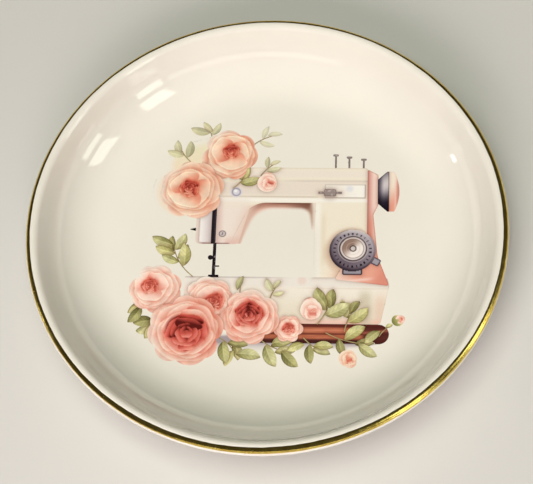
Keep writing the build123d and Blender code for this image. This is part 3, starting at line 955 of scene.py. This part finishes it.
def eased(before, corner, after, cut):
    """A corner of a line, rounded off from a distance before it to the same distance after it."""
    before, corner, after = [np.array(point, float) for point in (before, corner, after)]
    start = corner + (before - corner) * cut / math.dist(before, corner)
    end = corner + (after - corner) * cut / math.dist(after, corner)
    return [(1 - t) ** 2 * start + 2 * t * (1 - t) * corner + t * t * end for t in np.linspace(0, 1, 9)]


# The machine's main lines, as in the CAD model
ARM_TOP, ARM_BOTTOM = 19.2, 10.6
COLUMN_LEFT, COLUMN_RIGHT = 9.6, 20.8
HEAD_RIGHT, HEAD_BOTTOM = -6.6, 0.8
BED_TOP, BED_BOTTOM = -6.8, -17.4
ARCH_FOOT, ARCH_SHOULDER = (HEAD_RIGHT, HEAD_BOTTOM), (HEAD_RIGHT + 2.6, ARM_BOTTOM)
ARCH_CORNER, COLUMN_FOOT = (COLUMN_LEFT, ARM_BOTTOM), (COLUMN_LEFT, BED_TOP)
ARCH = [
    ARCH_FOOT,
    *eased(ARCH_FOOT, ARCH_SHOULDER, ARCH_CORNER, 3.8),
    *eased(ARCH_SHOULDER, ARCH_CORNER, COLUMN_FOOT, 1.5),
    COLUMN_FOOT,
]
NEEDLE_X = -11.4
DIAL = (17.9, 0.0)
DIAL_RING = (17.8, -0.4)
DIAL_RADIUS = 4.9
DIAL_CAP_RADIUS = 2.7
DIAL_MARKS = 26
SCREW = (-9.9, 3.2)
GUIDE = (-7.35, 13.2)
LABEL = ((11.8, 12.1), (20.2, 15.1))

# Soft lines in the enamel: two creases along the arm, and the fold between the bed's top and its front
UPPER_CREASE, LOWER_CREASE = 16.0, 12.15
BED_FOLD = -9.3

CREAM = tone(239, 228, 204)
HEAD_TONE = tone(237, 222, 206)
SLOPE_TONE = tone(230, 202, 184)
SLOPE_WIDTH = 1.5


def paint_body(film):
    """The machine's arm, head and column: cream enamel with soft creases."""
    x, y = film.x, film.y
    film.lay(CREAM)
    arm = smooth(y, ARM_BOTTOM - 0.6, ARM_BOTTOM + 0.4)
    film.ink(235, 223, 206, 0.8 * arm * film.band(y, 16.8, 18.6, 0.6))
    film.ink(229, 215, 198, 0.8 * arm * film.band(y, 12.5, 15.7, 0.5))
    film.ink(247, 240, 226, 0.9 * arm * film.band(y, 10.9, 11.8, 0.3))
    film.ink(204, 186, 172, 0.55 * arm * hump(y, UPPER_CREASE, 0.28) * smooth(x, -2, 8))
    film.ink(182, 164, 150, 0.55 * arm * hump(y, LOWER_CREASE, 0.16) * fall(x, 9, 12))
    film.ink(222, 208, 186, 0.55 * fall(ARM_TOP - y, 0, 0.5))
    column = fall(y, ARM_BOTTOM - 0.5, ARM_BOTTOM + 0.6)
    film.ink(245, 238, 223, 0.9 * column * film.band(x, 9.8, 10.9, 0.5))
    film.lay(WHITE, column * fall(x - COLUMN_LEFT, 0.0, 2.0) * fall(y, 1.0, 8.0))
    film.ink(222, 206, 176, 0.45 * column * hump(x, COLUMN_LEFT + 2, 0.6) * film.band(y, -4.0, 8.0, 1.5))
    paint_head(film)
    paint_label(film)
    dial_shadow = film.disc((DIAL_RING[0] - 0.3, DIAL_RING[1] - 0.6), DIAL_RADIUS + 0.7, 0.8)
    film.shade(0.35 * dial_shadow, (0.80, 0.62, 0.52))
    film.ink(232, 190, 160, 0.7 * fall(y, BED_TOP, BED_TOP + 3.5) * smooth(x, 11, 16))
    film.ink(214, 192, 170, 0.3 * fall(film.edge, 0, 0.3) * smooth(y, BED_TOP + 1, BED_TOP + 4))


def lay_head(film, cover):
    """The head's enamel: cream, with pink down its middle and at its lower right, shaded along the arch."""
    x, y = film.x, film.y
    head = fall(x - 0.27 * (y - HEAD_BOTTOM), HEAD_RIGHT - 1.6, HEAD_RIGHT + 0.4)
    low = cover * fall(y, 8, 14)
    slant = cover * hump(film.from_line(ARCH[:6]), 0, SLOPE_WIDTH)
    film.lay(HEAD_TONE, low * head)
    film.ink(226, 196, 182, 0.7 * low * smooth(x, -11.4, -10.9) * fall(x, -10.8, -9.4))
    film.lay(SLOPE_TONE, 0.85 * slant * fall(y, ARM_BOTTOM - 1, ARM_BOTTOM))
    film.ink(224, 184, 168, 0.8 * low * film.band(x, -9.4, -5.6, 0.8) * fall(y, HEAD_BOTTOM, 3.4))


def paint_head(film):
    """The machine's head: pink down its left edge, with a screw, a thread guide and a dark lower edge."""
    x, y = film.x, film.y
    film.ink(216, 144, 132, 0.9 * fall(y, 8, 14) * fall(x, -14.7, -13.7))
    lay_head(film, 1)
    film.ink(104, 58, 54, 0.8 * fall(y - HEAD_BOTTOM, 0.05, 0.4) * film.band(x, -14.2, -8.4, 0.4))
    film.ink(206, 194, 188, film.disc(SCREW, 0.72))
    film.ink(112, 94, 94, 0.9 * film.ring(SCREW, 0.68, 0.2))
    slot = np.abs(x - SCREW[0] - 0.3 * (y - SCREW[1])) < 0.15
    film.ink(104, 88, 88, 0.8 * film.disc(SCREW, 0.34) * slot)
    film.ink(218, 212, 214, film.disc(GUIDE, 1.25, 0.2))
    film.ink(140, 134, 148, 0.75 * film.ring(GUIDE, 0.85, 0.3))
    film.ink(246, 244, 240, 0.9 * film.disc((GUIDE[0] - 0.2, GUIDE[1] + 0.3), 0.4))


def paint_label(film):
    """The blank plate on the arm, with the lever's shadow at its left end."""
    low, high = LABEL
    plate = film.box(low, high)
    border = film.box((low[0] - 0.1, low[1] - 0.2), (high[0] + 0.2, high[1] + 0.1))
    film.ink(150, 130, 120, 0.7 * border)
    film.blend((238, 228, 212), (246, 240, 226), smooth(film.x, low[0], high[0]), plate)
    film.ink(214, 214, 218, 0.6 * film.disc((17.0, 14.2), 0.7, 0.5) * plate)
    film.ink(160, 142, 130, 0.35 * film.disc((12.7, 12.9), 1.5, 0.9))


def paint_side(film):
    """The column's side: dusty pink, deepest against the column and at the flare, with a pale streak."""
    x, y = film.x, film.y
    film.blend((230, 162, 138), (238, 198, 180), smooth(y, 5, 10))
    off = x - COLUMN_RIGHT
    film.ink(232, 196, 178, 0.8 * smooth(off, 0.8, 1.5) * smooth(y, -1, 3))
    film.ink(170, 92, 80, 0.85 * np.exp(-np.maximum(off, 0) / 0.6) * smooth(y, -3, 1))
    film.ink(244, 216, 200, 0.8 * hump(off, 1.5, 0.5) * smooth(y, 8, 11))
    film.ink(238, 206, 184, 0.95 * fall(x, 14.6, 19.5))
    film.ink(244, 220, 204, 0.7 * hump(y, -7.2 + 0.12 * (x - 20), 0.35) * fall(x, 20, 23.5))
    film.ink(208, 120, 100, 0.5 * smooth(x - 0.5 * y, 24.6, 27.6))
    film.ink(180, 98, 84, 0.5 * fall(film.edge, 0, 0.3) * smooth(x, 19, 21))


def paint_arch(film):
    """The shaded inside of the arch: dark under the arm and in its right corner, and pale at its own edge."""
    x, y = film.x, film.y
    off = film.from_line(ARCH)
    slope = (ARCH_SHOULDER[0] - ARCH_FOOT[0]) / (ARCH_SHOULDER[1] - ARCH_FOOT[1])
    on_head = fall(x - ARCH_FOOT[0] - slope * (y - ARCH_FOOT[1]), -0.15, 0.15)
    film.blend((176, 126, 106), (228, 188, 168), smooth(off, 0.2, 1.6))
    film.ink(224, 190, 170, 0.85 * fall(x, -4.6, -1.6))
    film.ink(112, 68, 60, 0.9 * fall(off, 0.0, 0.4) * smooth(x, -3.0, 3.0))
    film.ink(112, 72, 56, 0.75 * smooth(x, 2.5, 8.0) * smooth(y, 7.8, 9.8))
    film.ink(236, 222, 204, 0.95 * smooth(x, COLUMN_LEFT - 1.3, COLUMN_LEFT - 0.2))
    film.ink(168, 134, 112, 0.8 * hump(x, COLUMN_LEFT - 0.85, 0.5) * film.band(y, 5.0, 9.6, 1.2))
    film.lay(WHITE, 0.95 * fall(y, 1.5, 6.5) * smooth(x, 4, 6))
    film.lay(WHITE, 0.9 * fall(film.edge, 0, 0.9) * smooth(off, 0.4, 0.8))
    film.lay(CREAM, on_head)
    lay_head(film, on_head)


def paint_head_plate(film):
    """The pale plate on the head, shaded at its right."""
    across, _ = film.within("print_head_plate")
    film.blend((242, 234, 224), (214, 202, 196), smooth(across, 0, 1))
    film.ink(170, 140, 134, 0.6 * fall(film.edge, 0, 0.25))


def paint_needle_bar(film):
    """The needle bar and presser foot: dark steel with a few bright glints."""
    film.ink(34, 26, 31)
    below = fall(film.y, HEAD_BOTTOM - 0.6, HEAD_BOTTOM)
    glints = smooth(cloud(film.x * 0.6, film.y, 0.55, 3, 1), 0.25, 0.6)
    film.ink(176, 168, 166, 0.75 * below * glints * hump(film.x, NEEDLE_X + 0.12, 0.16))
    film.ink(84, 72, 80, 0.6 * (1 - below) * hump(film.x, NEEDLE_X - 0.1, 0.12))


def paint_dial_ring(film):
    """The stitch dial's ring: gunmetal, dark at its lower left and faint at its top, with plain marks."""
    away, turn = film.away(DIAL_RING), film.turn(DIAL_RING)
    light = 0.5 + 0.5 * np.cos(turn - math.radians(60))
    film.blend((108, 94, 102), (172, 162, 166), light)
    film.ink(46, 34, 44, 0.9 * fall(DIAL_RADIUS - away, 0.1, 1.2) * (1 - light))
    film.ink(196, 188, 190, 0.6 * film.ring(DIAL_RING, 4.3, 0.2, 0.15) * light)
    step = turn / (2 * math.pi) * DIAL_MARKS
    marks = np.abs(step % 1 - 0.5) < 0.17 + 0.07 * hashed(np.floor(step), 0, 5)
    film.ink(34, 26, 36, 0.9 * film.ring(DIAL_RING, 3.8, 0.55) * marks)
    film.ink(56, 46, 52, 0.8 * film.ring(DIAL, DIAL_CAP_RADIUS + 0.12, 0.22))
    film.ink(200, 192, 188, 0.7 * film.ring(DIAL, DIAL_CAP_RADIUS + 0.42, 0.2))
    film.ink(226, 216, 204, 0.75 * smooth(away, 3.7, 4.9) * smooth(film.y, 1.8, 4.4))
    outside = away > DIAL_RADIUS + 0.05
    film.ink(176, 170, 174, 0.8 * outside * smooth(film.edge, 0.15, 0.4))
    film.ink(44, 34, 42, 0.8 * outside * fall(film.edge, 0.0, 0.3))


def paint_dial_cap(film):
    """The dial's cap: turned metal, dark at its upper left, with a button in the middle."""
    light = 0.5 - 0.5 * np.cos(film.turn(DIAL) - math.radians(135))
    film.blend((146, 118, 102), (242, 230, 218), smooth(light, 0.05, 0.8))
    film.ink(226, 216, 206, 0.85 * smooth(film.away(DIAL), 2.2, 2.35))
    film.ink(112, 88, 80, 0.75 * film.ring(DIAL, 2.25, 0.16))
    film.ink(206, 192, 182, 0.5 * film.ring(DIAL, 1.4, 0.14))
    film.ink(206, 196, 188, film.disc(DIAL, 0.62))
    film.ink(72, 54, 54, 0.95 * film.ring(DIAL, 0.62, 0.24))
    film.shade(0.3 * fall(film.edge, 0, 0.25))


def paint_hub(film):
    """The handwheel's cone: black enamel with one broad highlight."""
    across, up = film.within("print_handwheel_hub")
    film.blend((20, 14, 26), (72, 64, 78), smooth(up, 0.2, 0.6))
    film.ink(214, 204, 198, 0.95 * hump(up, 0.60 + 0.12 * across, 0.30) * smooth(across, 0.0, 0.6))
    film.ink(28, 22, 32, 0.7 * fall(film.edge, 0, 0.25))


def paint_wheel_rim(film):
    """The handwheel's rim: cream at its upper left and pink at its right and below."""
    across, up = film.within("print_handwheel_rim")
    film.blend((232, 160, 136), (242, 226, 204), smooth(up - 0.35 * across, 0.0, 0.6))
    film.ink(202, 132, 114, 0.85 * smooth(across, 0.45, 0.9) * (1 - 0.6 * smooth(up, 0.6, 1.0)))
    film.ink(244, 222, 204, 0.5 * hump(across, 0.62, 0.10))
    film.ink(150, 82, 70, 0.7 * smooth(across, 0.82, 1.0) * fall(film.edge, 0, 0.3))
    film.ink(220, 190, 172, 0.5 * fall(film.edge, 0, 0.2))


def paint_steel(film):
    """Small steel pieces: mottled grey, dark at their edges."""
    film.ink(150, 134, 126)
    film.ink(206, 192, 182, 0.6 * smooth(cloud(film.x, film.y, 0.4, 9, 1), 0.1, 0.6))
    film.ink(88, 74, 72, 0.8 * fall(film.edge, 0, 0.24))


def paint_bed(film):
    """The machine's bed: a pale top face, a cream front, a shaded right end and a pink lower edge."""
    x, y = film.x, film.y
    film.blend((232, 220, 196), (240, 231, 212), smooth(y, -15, -9))
    film.ink(234, 225, 212, 0.7 * smooth(y, -9.4, -8.6))
    film.ink(186, 172, 164, 0.7 * fall(BED_TOP - y, 0.05, 0.5) * fall(x, -4, 6))
    film.ink(222, 206, 186, 0.5 * hump(y, BED_FOLD, 0.16) * smooth(x, 2, 12))
    film.ink(236, 190, 170, 0.8 * fall(y - BED_BOTTOM, 0.2, 1.8))
    film.ink(204, 192, 164, 0.75 * film.band(x, 19.4, 21.8, 1.0) * fall(y, -11.5, -8.6))
    film.ink(226, 186, 160, 0.5 * film.band(x, 22.6, 25.0, 0.9) * fall(y, -13.0, -9.0))
    film.ink(232, 208, 190, 0.7 * film.disc((7.3, -7.6), 0.9, 0.4))
    film.ink(240, 212, 198, 0.5 * fall(x, -12, -6) * fall(y, -10, -8))
    film.ink(216, 190, 170, 0.35 * fall(film.edge, 0, 0.3) * smooth(x, 16, 24))


def paint_wood(film):
    """The wooden base: stained boards with lines of light along their edges, and a dark round end."""
    _, up = film.within("print_wooden_base")
    grain = cloud(film.x * 0.12, film.y, 0.22, 4)
    end = smooth(film.x, 19.4, 21.0)
    film.blend((168, 92, 64), (198, 118, 86), 0.5 + 0.4 * grain)
    film.ink(98, 44, 36, 0.95 * smooth(up, 0.78, 0.86))
    film.ink(210, 134, 104, 0.7 * hump(up, 0.68, 0.05))
    film.ink(96, 44, 36, 0.85 * hump(up, 0.49, 0.05))
    film.ink(58, 26, 26, 0.9 * fall(up, 0.14, 0.30))
    film.ink(78, 34, 30, 0.9 * end * film.band(up, 0.05, 0.95, 0.1))
    film.ink(184, 106, 84, 0.8 * hump(up, 0.60 + 0.03 * (film.x - 22), 0.07) * end)


def paint_lifter(film):
    """The short dark lever."""
    film.ink(30, 24, 26)


def paint_shadow(film):
    """The shadow under the base, which fades out below."""
    depth = span("print_wooden_base")[0][1] - film.y
    strength = 0.75 * np.exp(-np.maximum(depth, 0) / 0.8) * smooth(film.edge, 0, 0.8)
    film.ink(138, 122, 128, strength)


def paint_peach(film):
    """A wash of peach and yellow that fades out at its edge."""
    cover = 0.75 * smooth(film.edge, 0.2, 2.4)
    film.blend((240, 210, 176), (232, 220, 178), smooth(film.y, 16, 24), cover)


# The motifs from the front of the picture to the back, and how each is painted
SPRAYS = [
    "top_left", "top", "top_right", "arm", "arm_tip", "sprig", "far_left", "low_left", "bottom_left",
    "bottom", "bottom_right", "bed_left", "bed_front", "bed_middle", "bed_right", "wood", "right",
]
PLAIN_PAINTERS = {
    "print_stems": paint_stem,
    "print_dial_cap": paint_dial_cap,
    "print_dial_ring": paint_dial_ring,
    "print_lever": paint_steel,
    "print_needle_bar": paint_needle_bar,
    "print_head_plate": paint_head_plate,
    "print_handwheel_hub": paint_hub,
    "print_handwheel_rim": paint_wheel_rim,
    "print_machine_side": paint_side,
    "print_arch_shade": paint_arch,
    "print_machine_body": paint_body,
    "print_thread_pins": paint_steel,
    "print_machine_bed": paint_bed,
    "print_foot_lifter": paint_lifter,
    "print_wooden_base": paint_wood,
    "print_shadow_wash": paint_shadow,
    "print_peach_wash": paint_peach,
}


def front_to_back():
    """The names of the print nodes, from the front of the picture to the back."""
    roses = [f"print_rose_{name}" for name in ROSES]
    buds = [f"print_bud_{name}" for name in BUDS]
    leaves = [f"print_leaves_{name}" for name in SPRAYS]
    return [*roses, *buds, *leaves, *PLAIN_PAINTERS]


def find_fronted(films, flush):
    """For each film, which points of its rim lie along a film in front of it, and which of those are
    shadowed. The flush films cast no shadow, and lie level with every film that they touch."""
    owner = np.concatenate([np.full(len(film.rim), i) for i, film in enumerate(films)])
    casts = np.array([film not in flush for film in films])
    rims = np.concatenate([film.rim for film in films])
    tree = search_tree(rims)
    fronted = np.zeros((len(rims), 2), bool)
    for i, (x, y) in enumerate(rims.tolist()):
        touching = {owner[hit[1]] for hit in tree.find_range((x, y, 0), 0.6 * FILM_STEP)} - {owner[i]}
        in_front = [other for other in touching if other < owner[i]]
        level = bool(touching) and not casts[owner[i]]
        fronted[i] = bool(in_front) or level, any(casts[other] for other in in_front)
    return np.split(fronted, np.cumsum([len(film.rim) for film in films])[:-1])


def paint(node, films, stems):
    """Paint every film of a node."""
    for number, film in enumerate(films):
        if node.startswith("print_rose_"):
            paint_rose(film, *ROSES[node.removeprefix("print_rose_")])
        elif node.startswith("print_bud_"):
            paint_bud(film, *BUDS[node.removeprefix("print_bud_")])
        elif node.startswith("print_leaves_"):
            paint_leaf(film, stems, number + len(node))
        else:
            PLAIN_PAINTERS[node](film)
        film.lay(WHITE, FAINT.get(node.removeprefix("print_leaves_"), 0))
        if not node.endswith("_wash"):
            film.shade(CONTACT_SHADOW * np.exp(-film.under / CONTACT_REACH), CONTACT_TINT)


def linear(colour):
    """A colour as an amount of light, from how it looks on screen."""
    return np.where(colour <= 0.04045, colour / 12.92, ((colour + 0.055) / 1.055) ** 2.4)


def albedo(colour):
    """The ink's own colour, from how it looks beside white glaze."""
    return linear(colour) / linear(WHITE) * GLAZE_TONE


def film_mesh(name, films):
    """One closed mesh from a node's films, thinner towards their edges, with their colours on its points."""
    taper = WASH_TAPER if name.endswith("_wash") else FILM_TAPER
    points, faces, colours = [], [], []
    count = 0
    for film in films:
        size = len(film.points)
        lift = FILM * (0.2 + 0.8 * smooth(film.edge, 0, taper))
        points.append(np.column_stack([film.points, WELL_TOP + lift]))
        points.append(np.column_stack([film.rim, np.full(film.rim_count, WELL_TOP - FILM_SINK)]))
        faces += (film.top + count).tolist()
        faces += (film.bottom[:, ::-1] + count + size).tolist()
        start = 0
        for loop in film.loops:
            ring = np.arange(start, start + len(loop))
            after = np.roll(ring, -1)
            faces += (np.stack([after, ring, ring + size, after + size], axis=-1) + count).tolist()
            start += len(loop)
        count += size + film.rim_count
        colours += [film.colour, film.colour[:film.rim_count]]
    piece = add_mesh(name, np.concatenate(points), faces)
    ink = albedo(np.clip(np.concatenate(colours), 0, 1))
    attribute = piece.data.color_attributes.new("ink", "FLOAT_COLOR", "POINT")
    attribute.data.foreach_set("color", np.column_stack([ink, np.ones(len(ink))]).ravel())
    return piece


def add_print():
    """Every motif of the picture, as painted films of ink."""
    slots = {part["node"]: part["material_slot"] for part in frame["record"]["subparts"]}
    materials = {slot: ink_material(slot) for slot in sorted(set(slots.values())) if slot.startswith("ink_")}
    films = {node: [Film(*patch) for patch in film_faces(node)] for node in front_to_back()}
    every = [film for group in films.values() for film in group]
    for film, fronted in zip(every, find_fronted(every, films["print_arch_shade"])):
        film.measure_edges(*fronted.T)
    stems = np.concatenate([film.rim for film in films["print_stems"]])
    for node, group in films.items():
        paint(node, group, stems)
        piece = film_mesh(node.replace("print_", "ink_"), group)
        finish_piece(piece, materials[slots[node]], [node])


add_camera()
add_lights()
add_floor()
add_dish()
add_print()
